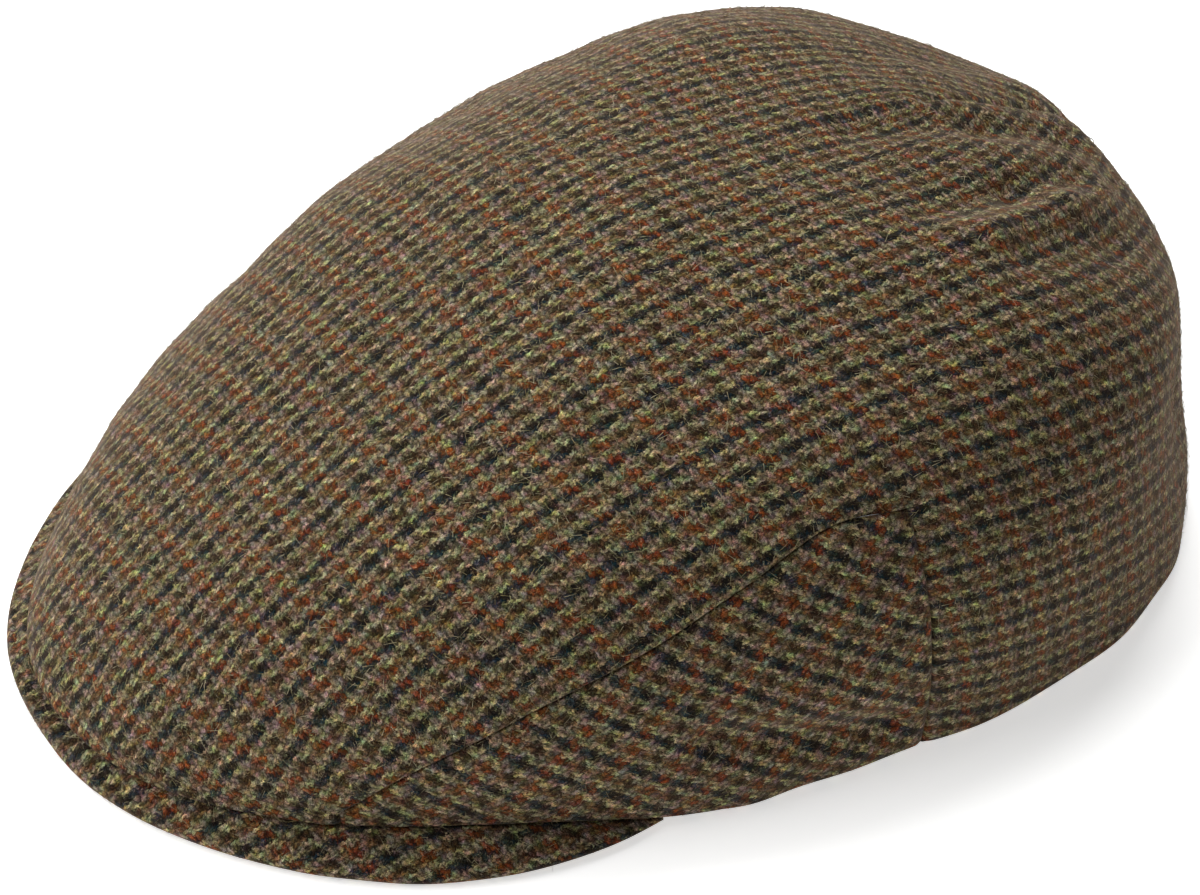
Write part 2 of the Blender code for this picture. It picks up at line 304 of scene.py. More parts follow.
def flattened(points, faces, method="MINIMUM_STRETCH"):  # the flat pattern of a curved piece
    mesh = bpy.data.meshes.new("pattern")
    mesh.from_pydata([tuple(p) for p in points * mm], [], faces)
    mesh.uv_layers.new(name="cloth")
    pattern = bpy.data.objects.new("pattern", mesh)
    bpy.context.scene.collection.objects.link(pattern)
    bpy.ops.object.select_all(action="DESELECT")
    pattern.select_set(True)
    bpy.context.view_layer.objects.active = pattern
    bpy.ops.object.mode_set(mode="EDIT")
    bpy.ops.mesh.select_all(action="SELECT")
    bpy.ops.uv.unwrap(method=method, margin=0.0)
    bpy.ops.object.mode_set(mode="OBJECT")
    corner = np.zeros(len(mesh.loops) * 2, np.float32)
    mesh.uv_layers[0].data.foreach_get("uv", corner)
    vertex = np.zeros(len(mesh.loops), int)
    mesh.loops.foreach_get("vertex_index", vertex)
    uv = np.zeros((len(points), 2))
    uv[vertex] = corner.reshape(-1, 2)
    bpy.data.objects.remove(pattern)
    bpy.data.meshes.remove(mesh)
    return uv


def aligned(uv, start, end, side):  # turned so that end is straight up from start, with side on the right
    line = uv[end] - uv[start]
    turn = math.atan2(line[0], line[1])
    c, s = math.cos(turn), math.sin(turn)
    flat = (uv - uv[start]) @ np.array([[c, s], [-s, c]])
    if flat[side, 0] < 0:
        flat = flat * [-1, 1]
    return flat


crown = {
    "splitAway": 0.20,              # share at which the dividing row runs away from the panels
    "splitReach": 22,               # degrees that it takes to get there
    "patternColumns": (10, 24, 22), # before, over and behind the panel
    "patternRows": (8, 26),         # below and above the dividing row
    "columnEvery": 1.9, "rowsBelow": 20, "rowsAbove": 58,
    "lastRow": 0.985,               # share at which the rows end round the top
}


def acrossSeam(angle, seam, length):  # from a step up the profile to a step across the slanted seam
    climb = np.abs(seamAt(angle + 0.5) - seamAt(angle - 0.5))[:, None]
    slant = climb * length / degreeAt(angle[:, None], seam)
    return 1 / np.sqrt(1 + slant**2)


def splitAt(angle):  # the row that follows the slanted seam, and runs level elsewhere
    away = np.maximum(np.maximum(seamFirst - np.abs(angle), np.abs(angle) - seamLast), 0)
    t = np.minimum(1, away / crown["splitReach"])
    seam = seamAt(angle)
    return seam + (crown["splitAway"] - seam) * t * t * (3 - 2 * t)


def crownPattern():
    front, panel, back = crown["patternColumns"]
    low, high = crown["patternRows"]
    half = np.concatenate([
        np.linspace(0, seamFirst, front, endpoint=False),
        np.linspace(seamFirst, seamLast, panel, endpoint=False),
        np.linspace(seamLast, 180, back + 1),
    ])
    angles = np.concatenate([-half[::-1][:-1], half])
    count, rows = len(angles), low + high
    split = splitAt(angles)[:, None]
    k = np.arange(rows)[None, :]
    shares = np.where(k <= low, split * k / low, split + (1 - split) * (k - low) / high)
    points, _ = surfaceAt(angles[:, None], shares)
    top, _ = surfaceAt(np.array([0.0]), np.array([1.0]))
    points = np.concatenate([points.reshape(-1, 3), top])
    last = (count - 1) * rows
    weld = {last + r: r for r in range(rows) if shares[0, r] > soft["backSlit"]}
    faces = []
    for c in range(count - 1):
        middle = abs(angles[c] + angles[c + 1]) / 2
        for r in range(rows - 1):
            if r < low and seamFirst < middle < seamLast:
                continue
            a, b = c * rows + r, (c + 1) * rows + r
            faces.append((a, b, b + 1, a + 1))
        faces.append((c * rows + rows - 1, (c + 1) * rows + rows - 1, count * rows))
    faces = [tuple(weld.get(i, i) for i in face) for face in faces]
    uv = flattened(points, faces)
    for old, new in weld.items():
        uv[old] = uv[new]
    zero = (count // 2) * rows
    foot, leftward, summit = zero + 2, zero + 2 + rows * 4, count * rows
    uv = aligned(uv, foot, summit, leftward)
    line = points[[*range(foot, zero + rows), summit]]
    uv *= np.linalg.norm(np.diff(line, axis=0), axis=1).sum() / np.linalg.norm(uv[summit] - uv[foot])
    grid = uv[:-1].reshape(count, rows, 2)
    grid = np.concatenate([grid, np.broadcast_to(uv[-1], (count, 1, 2))], 1)
    return angles, grid


def patternAt(angles, grid, angle, share):  # reads the coarse pattern at any place
    low, high = crown["patternRows"]
    split = splitAt(angle)
    row = np.where(share <= split, share / split * low, low + (share - split) / (1 - split) * high)
    inPanel = (np.abs(angle) > seamFirst + 1e-6) & (np.abs(angle) < seamLast - 1e-6)
    row = np.where(inPanel, np.maximum(row, low), row)
    column = np.interp(angle, angles, np.arange(len(angles)))
    i = np.clip(column.astype(int), 0, len(angles) - 2)
    j = np.clip((row + 1e-7).astype(int), 0, grid.shape[1] - 2)
    s, t = (column - i)[..., None], (row - j)[..., None]
    return (
        grid[i, j] * (1 - s) * (1 - t) + grid[i + 1, j] * s * (1 - t)
        + grid[i, j + 1] * (1 - s) * t + grid[i + 1, j + 1] * s * t
    )


def spaced(length, every, start, end):  # stations from 0 to length, closer together by a turned edge
    low = edgeSteps if start else edgeSteps[:1]
    high = edgeSteps if end else edgeSteps[:1]
    count = max(2, round((length - low[-1] - high[-1]) / every) + 1)
    between = np.linspace(low[-1], length - high[-1], count)
    return np.concatenate([low[:-1], between, length - high[::-1][1:]])


def makeCrown():
    fine = np.linspace(0, 180, 721)
    arc = lengthRound(fine)
    first, last = np.interp([seamFirst, seamLast], fine, arc)
    every = crown["columnEvery"]
    half = np.concatenate([
        spaced(first, every, False, True)[:-1],
        first + spaced(last - first, every, False, False)[:-1],
        last + spaced(arc[-1] - last, every, True, True),
    ])
    half = np.interp(half, arc, fine)
    half[np.argmin(abs(half - seamFirst))] = seamFirst
    half[np.argmin(abs(half - seamLast))] = seamLast
    angle = np.concatenate([-half[::-1][:-1], half])
    length = lengthUp(angle)[:, None]
    split = splitAt(angle)[:, None]
    across = acrossSeam(angle, split, length)
    steps = edgeSteps[None, :]
    rim = steps / length
    t = np.linspace(0, 1, crown["rowsBelow"] + 1)[None, 1:]
    below = np.concatenate([rim, rim[:, -1:] + (split - rim[:, -1:]) * t], 1)
    seam = split + steps / length / across
    t = np.linspace(0, 1, crown["rowsAbove"] + 1)[None, 1:]
    above = np.concatenate([seam[:, 1:], seam[:, -1:] + (crown["lastRow"] - seam[:, -1:]) * t], 1)
    share = np.concatenate([below, above], 1)
    angle = angle[:, None] + np.zeros_like(share)
    p, n = surfaceAt(angle, share)
    side = np.abs(angle)
    aside = np.maximum(np.maximum(side - seamLast, seamFirst - side), 0) * degreeAt(angle, share)
    up = np.maximum(share - seamAt(angle), 0) * length * across
    opening = np.hypot(aside, up)
    inPanel = (side > seamFirst) & (side < seamLast)
    rimEdge = np.where(inPanel, np.inf, share * length)
    edge = np.minimum(opening, rimEdge)
    backSeam = (180 - side) * degreeAt(angle, share)
    under, past = soft["backFade"]
    fade = np.clip((soft["backSlit"] + past - share) / (under + past), 0, 1)
    along = np.where(up > aside, side * mmPerDegree, share * length)
    push = slack(p) + seamShape(opening, along)
    dimple = soft["dimple"]
    beside = (side - dimple["angle"]) * degreeAt(angle, share) / dimple["long"]
    over = ((share - seamAt(seamLast)) * length - dimple["above"]) / dimple["wide"]
    push = push - dimple["deep"] * np.exp(-(beside**2) - over**2)
    push = push - soft["backDip"] * np.exp(-((backSeam / soft["backReach"]) ** soft["backPower"])) * fade
    wave = soft["pucker"] * soft["backPucker"] * fade * np.exp(-backSeam / soft["backPuckerReach"])
    wave = wave * np.sin(share * length / soft["backPuckerEvery"])
    push = push + wave * np.clip(backSeam / soft["backPuckerFree"], 0, 1)
    outer, inner = skins(p, n, push, edge)
    middle = (side[:-1, :-1] + side[1:, :-1]) / 2
    below = np.arange(share.shape[1] - 1)[None, :] < len(edgeSteps) + crown["rowsBelow"] - 1
    used = ~(below & (middle > seamFirst) & (middle < seamLast))
    uv = patternAt(*pattern, angle, share)
    top, up = surfaceAt(np.array([0.0]), np.array([1.0]))
    lift = slack(top)[..., None] * up
    pole = {"points": np.concatenate([top + lift, top + lift - cap["cloth"] * up]), "uv": pattern[1][0, -1]}
    return shellObject("crown_cloth", outer, inner, uv, used, wrap=True, pole=pole)


panel = {
    "tuck": 0.02,       # how far its edges go under the crown's
    "sink": 0.3,        # and down there
    "sinkReach": 1.6,
    "columnEvery": 1.3,
    "rows": 34,
    "between": 0.004,   # share left between its turned edges where it is narrow
    "grain": -30.0,     # degrees that the cloth is turned from the panel's lower edge
    "askew": 0.26,      # and how far it is drawn out of square
}


def makePanel(name, side):
    fine = np.linspace(seamFirst - 3, seamLast + 3, 401)
    arc = lengthRound(fine)
    start, end = np.interp([seamFirst, seamLast], fine, arc) + np.array([-panel["tuck"], panel["tuck"]])
    angle = np.interp(start + spaced(end - start, panel["columnEvery"], True, True), arc, fine)
    length = lengthUp(angle)[:, None]
    seam = seamAt(angle)[:, None]
    across = acrossSeam(angle, seam, length)
    top = seam + panel["tuck"] / length / across
    low = edgeSteps[None, :] / length
    high = top - edgeSteps[None, ::-1] / length / across
    t = np.linspace(0, 1, panel["rows"] + 1)[None, :]
    reach = np.minimum(1, top / (low[:, -1:] + edgeSteps[-1] / length / across + panel["between"]))
    low, high = low * reach, top - (top - high) * reach
    share = np.concatenate([low[:, :-1], low[:, -1:] + (high[:, :1] - low[:, -1:]) * t, high[:, 1:]], 1)
    angle = angle[:, None] + np.zeros_like(share)
    p, n = surfaceAt(side * angle, share)
    fromSeam = np.minimum(
        (seam - share) * length * across,
        np.minimum(angle - seamFirst, seamLast - angle) * degreeAt(angle, share),
    )
    outerEdge = fromSeam + panel["tuck"]
    edge = np.minimum(outerEdge, share * length)
    upright = (seam - share) * length < (seamLast - angle) * mmPerDegree
    along = np.where(upright, angle * mmPerDegree, share * length)
    fromSeam = np.maximum(fromSeam, 0)
    push = slack(p) + seamShape(fromSeam, along)
    push = push - panel["sink"] * np.clip(1 - outerEdge / panel["sinkReach"], 0, 1)
    outer, inner = skins(p, n, push, edge)
    columns, rows = share.shape
    uv = flatPanel(p, columns, rows) * [-side, 1]
    if side < 0:
        outer, inner, uv = outer[::-1], inner[::-1], uv[::-1]
    used = np.ones((columns - 1, rows - 1), bool)
    return shellObject(name, outer, inner, uv, used)


def flatPanel(p, columns, rows):
    pick = np.unique(np.concatenate([np.arange(0, columns, 2), [columns - 1]]))
    coarse = p[pick]
    index = np.arange(len(pick) * rows).reshape(len(pick), rows)
    faces = np.stack([index[:-1, :-1], index[1:, :-1], index[1:, 1:], index[:-1, 1:]], -1).reshape(-1, 4)
    uv = flattened(coarse.reshape(-1, 3), [tuple(f) for f in faces], "ANGLE_BASED")
    a, b = index[2, 0], index[-1, 0]
    line = coarse[2:, 0]
    scale = np.linalg.norm(np.diff(line, axis=0), axis=1).sum() / np.linalg.norm(uv[b] - uv[a])
    uv = aligned(uv * scale, a, b, index[-1, -1])
    flat = uv.reshape(len(pick), rows, 2)
    grain = math.radians(panel["grain"])
    c, s = math.cos(grain), math.sin(grain)
    flat = flat @ np.array([[c, s], [-s, c]])
    flat[..., 1] -= panel["askew"] * flat[..., 0]
    every = np.arange(columns)
    lines = [np.stack([np.interp(every, pick, flat[:, r, k]) for k in range(2)], -1) for r in range(rows)]
    return np.stack(lines, 1)


peak = {
    "thick": 4.2, "out": 10.0, "droop": 3.1, "depth": 56.7,
    "side": 5.0,            # in from the rim at its ends
    "gap": 0.3,
    "ovalAhead": 13.5, "ovalTurn": 0.917,   # its inner edge is part of an oval
    "tucked": 0.2, "droopPower": 1.6,
    "columns": 220, "nose": 16, "rowsOut": 9, "rowsIn": 13,     # rows outside and inside the rim
    "uneven": 0.10, "unevenEvery": (4.1, 5.3),
}
peakRows = [  # angle, shares of out, droop and thick
    (0, 0.350, 0.57, 1.00), (15, 0.505, 0.64, 1.00), (30, 0.690, 0.79, 1.00), (42, 0.925, 0.95, 1.00),
    (52, 1.000, 0.98, 1.00), (60, 0.800, 0.70, 0.86), (66, 0.405, 0.19, 0.52), (70, -0.056, 0.00, 0.18),
]


def makePeak():
    last = peakRows[-1][0]
    angles = np.linspace(-last, last, peak["columns"] + 1)
    outSteps = np.linspace(0, 1, peak["rowsOut"])
    inSteps = np.linspace(0, 1, peak["rowsIn"])[1:]
    loops, flats = [], []
    for angle in angles:
        foot = rimAt(angle)
        ahead = rimAt(angle + 0.5) - rimAt(angle - 0.5)
        out = np.array([ahead[1], -ahead[0]]) / np.linalg.norm(ahead[:2])
        outset = peak["out"] * tableAt(peakRows, 1, angle)
        droop = peak["droop"] * tableAt(peakRows, 2, angle)
        thick = peak["thick"] * tableAt(peakRows, 3, angle)
        nose = thick / 2
        turn = math.radians(angle * peak["ovalTurn"])
        inner = np.array([
            (cap["rimWidth"] / 2 - peak["side"]) * math.sin(turn),
            -peak["ovalAhead"] - (cap["rimAhead"] - peak["depth"] - peak["ovalAhead"]) * math.cos(turn),
        ])
        start = foot[:2] + out * (outset - nose)
        under = foot[:2] if outset > nose + cap["cloth"] else start + (inner - start) * peak["tucked"]
        plan = [start + (under - start) * s for s in outSteps]
        plan += [under + (inner - under) * s for s in inSteps]
        drops = [droop * (1 - s) ** peak["droopPower"] for s in outSteps] + [0.0] * len(inSteps)
        upper = [np.array([*q, foot[2] - peak["gap"] - d]) for q, d in zip(plan, drops)]
        lower = [q - np.array([0, 0, thick]) for q in upper]
        centre = (upper[0] + lower[0]) / 2
        noseLine, noseFlat = [], []
        for k in range(1, peak["nose"]):
            a = math.pi / 2 - math.pi * k / peak["nose"]
            noseLine.append(centre + np.array([*(out * nose * math.cos(a)), nose * math.sin(a)]))
            noseFlat.append(start + out * nose * math.pi * k / peak["nose"])
        loops.append(upper[::-1] + noseLine + lower)
        flats.append([q[:2] for q in upper[::-1]] + noseFlat + [q[:2] for q in lower])
    loops, flats = np.array(loops), np.array(flats)
    count, n = loops.shape[:2]
    points = loops.reshape(-1, 3)
    faces, seen = [], []
    for c in range(count - 1):
        for k in range(n):
            seen.append(k >= len(inSteps))
            a, b = c * n + k, c * n + (k + 1) % n
            faces.append((a, b, b + n, a + n))
    ends = []
    for c, turned in ((0, True), (count - 1, False)):
        ring = [c * n + k for k in range(n)]
        ends.append(tuple(ring[::-1] if turned else ring))
    mesh = bpy.data.meshes.new("peak_cloth")
    wide, long = peak["unevenEvery"]
    points[:, 2] += peak["uneven"] * np.sin(points[:, 0] / wide) * np.sin(points[:, 1] / long + 1)
    points[:, 2] = np.maximum(points[:, 2], clear)
    mesh.from_pydata([tuple(q) for q in points * mm], [], faces + ends)
    mesh.attributes.new("hairy", "BOOLEAN", "FACE").data.foreach_set("value", seen + [False] * len(ends))
    layer = mesh.uv_layers.new(name="cloth")
    vertex = np.zeros(len(mesh.loops), int)
    mesh.loops.foreach_get("vertex_index", vertex)
    layer.data.foreach_set("uv", (flats.reshape(-1, 2)[vertex] * mm).astype(np.float32).reshape(-1))
    mesh.polygons.foreach_set("use_smooth", np.ones(len(mesh.polygons), bool))
    return finished("peak_cloth", mesh)


def linear(code):  # an sRGB hex value to Blender's linear colour
    value = np.array([int(code[i:i + 2], 16) for i in (0, 2, 4)]) / 255
    value = np.where(value <= 0.04045, value / 12.92, ((value + 0.055) / 1.055) ** 2.4)
    return (*[float(v) for v in value], 1.0)


def add(tree, kind, settings=None, links=None):  # one node with its settings, values and links
    made = tree.nodes.new(kind)
    for key, value in (settings or {}).items():
        setattr(made, key, value)
    for key, value in (links or {}).items():
        if isinstance(value, bpy.types.NodeSocket):
            tree.links.new(value, made.inputs[key])
        else:
            made.inputs[key].default_value = value
    return made


maths, vectors, mix = "ShaderNodeMath", "ShaderNodeVectorMath", "ShaderNodeMix"
noise, spread = "ShaderNodeTexNoise", "ShaderNodeMapRange"

# Woollen tweed, woollen-spun yarn in a 2/2 twill: dull and hairy, with no gloss, and paler edge on from a
# painted sheen; painted light and shade lighten its nubs and yarn tops and darken the hollows between yarns.
tweed = {
    "acrossEvery": 1.08,    # mm from one front-to-back yarn to the next
    "alongEvery": 1.40,     # mm from one side-to-side yarn to the next
    "offset": (-1.3, -2.4, 0.0),
    "skew": 0.07,           # the side-to-side yarns run back towards the wearer's left
    "bow": 0.0012,          # and bend more so away from the middle, per mm
    "peakSkew": 0.1,
    "frontToBack": ["06222a", "998e6b", "6a5035", "978d69"],    # two yarns of each in turn
    "sideToSide": ["6e381d", "76685a", "261c12", "796a5c"],
    "below": 0.12,          # how much of the yarn below shows through
    "roundAcross": 0.5,     # powers that make a yarn round across it, and where it dives at its ends
    "roundAlong": 0.4,
    "warps": [  # noise per mm, how far it moves the yarns: slow wander, then loose fibres
        (0.13, 1.6), (0.9, 1.9), (2.2, 1.3),
    ],
    "stray": (1.3, 6.0),    # the same for fibres that lie over their neighbours
    "comb": {"Rotation": (0, 0, 0.25), "Scale": (1.5, 0.55, 1)},    # along the front-to-back yarns
    "fibre": {"Scale": 3.3, "Detail": 3.0, "Roughness": 0.7},
    "strayShare": {1: 0.42, 2: 0.64, 3: 0.06, 4: 0.75},  # from noise, in the first two, to a share
    "patch": {"Scale": 0.6, "Detail": 2.0},
    "patchLight": {1: 0.3, 2: 0.7, 3: 0.6, 4: 1.4},
    "nub": {"Scale": 3.4, "Detail": 2.0, "Roughness": 0.7},
    # painted light and shade on the nubs: lit nubs lighter, the cloth between them darker
    "paintedNubLight": {1: 0.3, 2: 0.7, 3: 0.5, 4: 1.6},
    # painted shade: the colour darker in the hollows between yarns and lighter on their tops
    "paintedHollowShade": {1: 0.0, 2: 0.9, 3: 0.32, 4: 1.25},
    # power that deepens the painted light and shade
    "contrast": 1.65,
    "dyes": {"Scale": 0.5, "Detail": 2.0, "Roughness": 0.5},    # fibres of several dyes are blended
    "dyeSpread": (1.25, 1.15, 1.5),
    "dyeLeast": (0.375, 0.43, 0.24),
    "saturation": 1.03,
    # painted sheen: the colour turns paler where the cloth is seen edge on
    "paintedSheen": "b59c8a",
    "paintedSheenPower": 3.5,
    "paintedSheenShare": 0.55,
    "yarnHeight": 0.75,
    "fibreHeight": 0.8,     # as a share of a yarn's
}


# The weave repeats after 4 yarns, of which a side-to-side yarn goes over 2, and the colours after 8.
def twillGroup(skew):  # from a place on the flat cloth, in mm, to the colour and the height of its yarn
    group = bpy.data.node_groups.new("twill_yarns", "ShaderNodeTree")
    group.interface.new_socket(name="Place", in_out="INPUT", socket_type="NodeSocketVector")
    group.interface.new_socket(name="Colour", in_out="OUTPUT", socket_type="NodeSocketColor")
    group.interface.new_socket(name="Height", in_out="OUTPUT", socket_type="NodeSocketFloat")
    split = add(group, "ShaderNodeSeparateXYZ", None, {0: add(group, "NodeGroupInput").outputs[0]})
    x, y = split.outputs[0], split.outputs[1]
    bow = add(group, maths, {"operation": "ABSOLUTE"}, {0: x}).outputs[0]
    bow = add(group, maths, {"operation": "MULTIPLY_ADD"}, {0: bow, 1: -tweed["bow"], 2: -skew}).outputs[0]
    y = add(group, maths, {"operation": "MULTIPLY_ADD"}, {0: x, 1: bow, 2: y}).outputs[0]
    x = add(group, maths, {"operation": "DIVIDE"}, {0: x, 1: tweed["acrossEvery"]}).outputs[0]
    y = add(group, maths, {"operation": "DIVIDE"}, {0: y, 1: tweed["alongEvery"]}).outputs[0]
    front = add(group, maths, {"operation": "FLOOR"}, {0: x}).outputs[0]
    side = add(group, maths, {"operation": "FLOOR"}, {0: y}).outputs[0]
    inFront = add(group, maths, {"operation": "FRACT"}, {0: x}).outputs[0]
    inSide = add(group, maths, {"operation": "FRACT"}, {0: y}).outputs[0]
    order = add(group, maths, {"operation": "SUBTRACT"}, {0: side, 1: front}).outputs[0]
    order = add(group, maths, {"operation": "FLOORED_MODULO"}, {0: order, 1: 4.0}).outputs[0]
    sideOnTop = add(group, maths, {"operation": "LESS_THAN"}, {0: order, 1: 1.5}).outputs[0]
    colours = []
    for count, key in ((front, "frontToBack"), (side, "sideToSide")):
        turn = add(group, maths, {"operation": "MULTIPLY_ADD"}, {0: count, 1: 1 / 8, 2: 1 / 16}).outputs[0]
        turn = add(group, maths, {"operation": "FLOORED_MODULO"}, {0: turn, 1: 1.0}).outputs[0]
        ramp = add(group, "ShaderNodeValToRGB", None, {0: turn})
        ramp.color_ramp.interpolation = "CONSTANT"
        stops = ramp.color_ramp.elements
        while len(stops) < len(tweed[key]):
            stops.new(0.5)
        for k, code in enumerate(tweed[key]):
            stops[k].position = k / 4
            stops[k].color = linear(code)
        colours.append(ramp.outputs[0])
    below = tweed["below"]
    top = add(group, maths, {"operation": "MULTIPLY_ADD"}, {0: sideOnTop, 1: 1 - 2 * below, 2: below})
    top = add(group, mix, {"data_type": "RGBA"}, {0: top.outputs[0], 6: colours[0], 7: colours[1]}).outputs[2]
    # where across its own width and along its float the upper yarn is, for the rounding
    sidePhase = add(group, maths, {"operation": "SUBTRACT"}, {0: inFront, 1: order}).outputs[0]
    sidePhase = add(group, maths, {"operation": "MULTIPLY_ADD"}, {0: sidePhase, 1: 0.5, 2: 0.5}).outputs[0]
    frontPhase = add(group, maths, {"operation": "ADD"}, {0: inSide, 1: order}).outputs[0]
    frontPhase = add(group, maths, {"operation": "MULTIPLY_ADD"}, {0: frontPhase, 1: 0.5, 2: -1.0}).outputs[0]
    domes = []
    for ofFront, ofSide, power in (
        (inFront, inSide, tweed["roundAcross"]), (frontPhase, sidePhase, tweed["roundAlong"]),
    ):
        value = add(group, mix, None, {0: sideOnTop, 2: ofFront, 3: ofSide}).outputs[0]
        flip = add(group, maths, {"operation": "SUBTRACT"}, {0: 1.0, 1: value}).outputs[0]
        value = add(group, maths, {"operation": "MULTIPLY"}, {0: value, 1: flip}).outputs[0]
        value = add(group, maths, {"operation": "MULTIPLY"}, {0: value, 1: 4.0}).outputs[0]
        domes.append(add(group, maths, {"operation": "POWER"}, {0: value, 1: power}).outputs[0])
    height = add(group, maths, {"operation": "MULTIPLY"}, {0: domes[0], 1: domes[1]}).outputs[0]
    add(group, "NodeGroupOutput", None, {0: top, 1: height})
    return group


def tweedMaterial(name, skew):
    material = bpy.data.materials.new(name)
    material.use_nodes = True
    tree = material.node_tree
    tree.nodes.clear()
    group = twillGroup(skew)
    place = add(tree, "ShaderNodeUVMap", {"uv_map": "cloth"}).outputs[0]
    place = add(tree, vectors, {"operation": "SCALE"}, {0: place, "Scale": 1 / mm}).outputs[0]
    moved = add(tree, vectors, {"operation": "SUBTRACT"}, {0: place, 1: tweed["offset"]}).outputs[0]
    for scale, amount in tweed["warps"] + [tweed["stray"]]:
        warp = add(tree, noise, None, {"Vector": place, "Scale": scale, "Detail": 1.0}).outputs["Color"]
        warp = add(tree, vectors, {"operation": "SUBTRACT"}, {0: warp, 1: (0.5, 0.5, 0.5)}).outputs[0]
        warp = add(tree, vectors, {"operation": "SCALE"}, {0: warp, "Scale": amount}).outputs[0]
        near = moved
        moved = add(tree, vectors, {"operation": "ADD"}, {0: near, 1: warp}).outputs[0]
    yarns = add(tree, "ShaderNodeGroup", {"node_tree": group}, {0: near}).outputs
    strays = add(tree, "ShaderNodeGroup", {"node_tree": group}, {0: moved}).outputs
    height = yarns[1]

    combed = add(tree, "ShaderNodeMapping", None, {"Vector": place, **tweed["comb"]}).outputs[0]
    fibre = add(tree, noise, None, {"Vector": combed, **tweed["fibre"]}).outputs[0]
    share = add(tree, spread, None, {0: fibre, **tweed["strayShare"]}).outputs[0]
    colour = add(tree, mix, {"data_type": "RGBA"}, {0: share, 6: yarns[0], 7: strays[0]}).outputs[2]
    patch = add(tree, noise, None, {"Vector": place, **tweed["patch"]}).outputs[0]
    patch = add(tree, spread, None, {0: patch, **tweed["patchLight"]}).outputs[0]
    # painted light and shade on the nubs, from noise combed along the front-to-back yarns
    nub = add(tree, noise, None, {"Vector": combed, **tweed["nub"]}).outputs[0]
    nub = add(tree, spread, None, {0: nub, **tweed["paintedNubLight"]}).outputs[0]
    # painted shade from the yarn's height: darker in the hollows between yarns, lighter on their tops
    hollow = add(tree, spread, None, {0: height, **tweed["paintedHollowShade"]}).outputs[0]
    # painted light and shade, multiplied into the colour: the patches, the painted light of the nubs and the
    # painted shade of the hollows, with their contrast raised
    light = add(tree, maths, {"operation": "MULTIPLY"}, {0: patch, 1: nub}).outputs[0]
    light = add(tree, maths, {"operation": "MULTIPLY"}, {0: light, 1: hollow}).outputs[0]
    light = add(tree, maths, {"operation": "POWER"}, {0: light, 1: tweed["contrast"]}).outputs[0]
    colour = add(tree, vectors, {"operation": "SCALE"}, {0: colour, "Scale": light}).outputs[0]
    dyes = add(tree, noise, None, {"Vector": place, **tweed["dyes"]}).outputs["Color"]
    dyes = add(tree, vectors, {"operation": "MULTIPLY"}, {0: dyes, 1: tweed["dyeSpread"]}).outputs[0]
    dyes = add(tree, vectors, {"operation": "ADD"}, {0: dyes, 1: tweed["dyeLeast"]}).outputs[0]
    colour = add(tree, vectors, {"operation": "MULTIPLY"}, {0: colour, 1: dyes}).outputs[0]
    colour = add(tree, "ShaderNodeHueSaturation", None, {"Saturation": tweed["saturation"], "Color": colour})
    # painted sheen: paler towards the outline, where the cloth is seen edge on
    edgeOn = add(tree, "ShaderNodeLayerWeight", None, {"Blend": 0.5}).outputs["Facing"]
    edgeOn = add(tree, maths, {"operation": "POWER"}, {0: edgeOn, 1: tweed["paintedSheenPower"]}).outputs[0]
    edgeOn = add(tree, maths, {"operation": "MULTIPLY"}, {0: edgeOn, 1: tweed["paintedSheenShare"]}).outputs[0]
    colour = add(tree, mix, {"data_type": "RGBA"}, {0: edgeOn, 6: colour.outputs[0], 7: linear(tweed["paintedSheen"])})

    rough = add(tree, maths, {"operation": "MULTIPLY"}, {0: fibre, 1: tweed["fibreHeight"]}).outputs[0]
    rough = add(tree, maths, {"operation": "ADD"}, {0: rough, 1: height}).outputs[0]
    bump = add(tree, "ShaderNodeBump", None, {"Distance": tweed["yarnHeight"] * mm, "Height": rough})
    shader = add(tree, "ShaderNodeBsdfPrincipled", None, {
        "Base Color": colour.outputs[2], "Normal": bump.outputs[0],
        "Roughness": 0.95, "Specular IOR Level": 0.1,
        "Sheen Weight": 0.08, "Sheen Roughness": 0.35, "Sheen Tint": linear("e2bfa8"),
    })
    add(tree, "ShaderNodeOutputMaterial", None, {0: shader.outputs[0]})
    return material


# Loose wool fibres on the face of the cloth, drawn a little thicker than wool so that they show.
hairs = {
    "thick": 0.13, "long": 2.8,
    "sizes": (0.45, 1.25),  # least and greatest share of those
    "bend": 0.45,           # how far the tip comes out of line, as a share of the length
    "lift": (8, 42),        # degrees off the cloth
    "every": 5.0,           # square mm of cloth to each fibre
    "rimRoom": 1.3,         # lengths above the floor under which they are cut shorter
    "pieces": [  # name, cloth, colours, seed
        ("crown_pale_fibres", "crown_cloth", ("b9ad8c", "8f8258"), 3),
        ("crown_dark_fibres", "crown_cloth", ("6e6040", "433422"), 8),
        ("side_panel_left_fibres", "side_panel_left_cloth", ("a39877", "4f4029"), 5),
        ("side_panel_right_fibres", "side_panel_right_cloth", ("a39877", "4f4029"), 6),
        ("peak_fibres", "peak_cloth", ("a39877", "4f4029"), 7),
    ],
    "shade": {"Scale": 300.0, "Detail": 1.0},   # per metre
    "shadeShare": {1: 0.4, 2: 0.6},
}


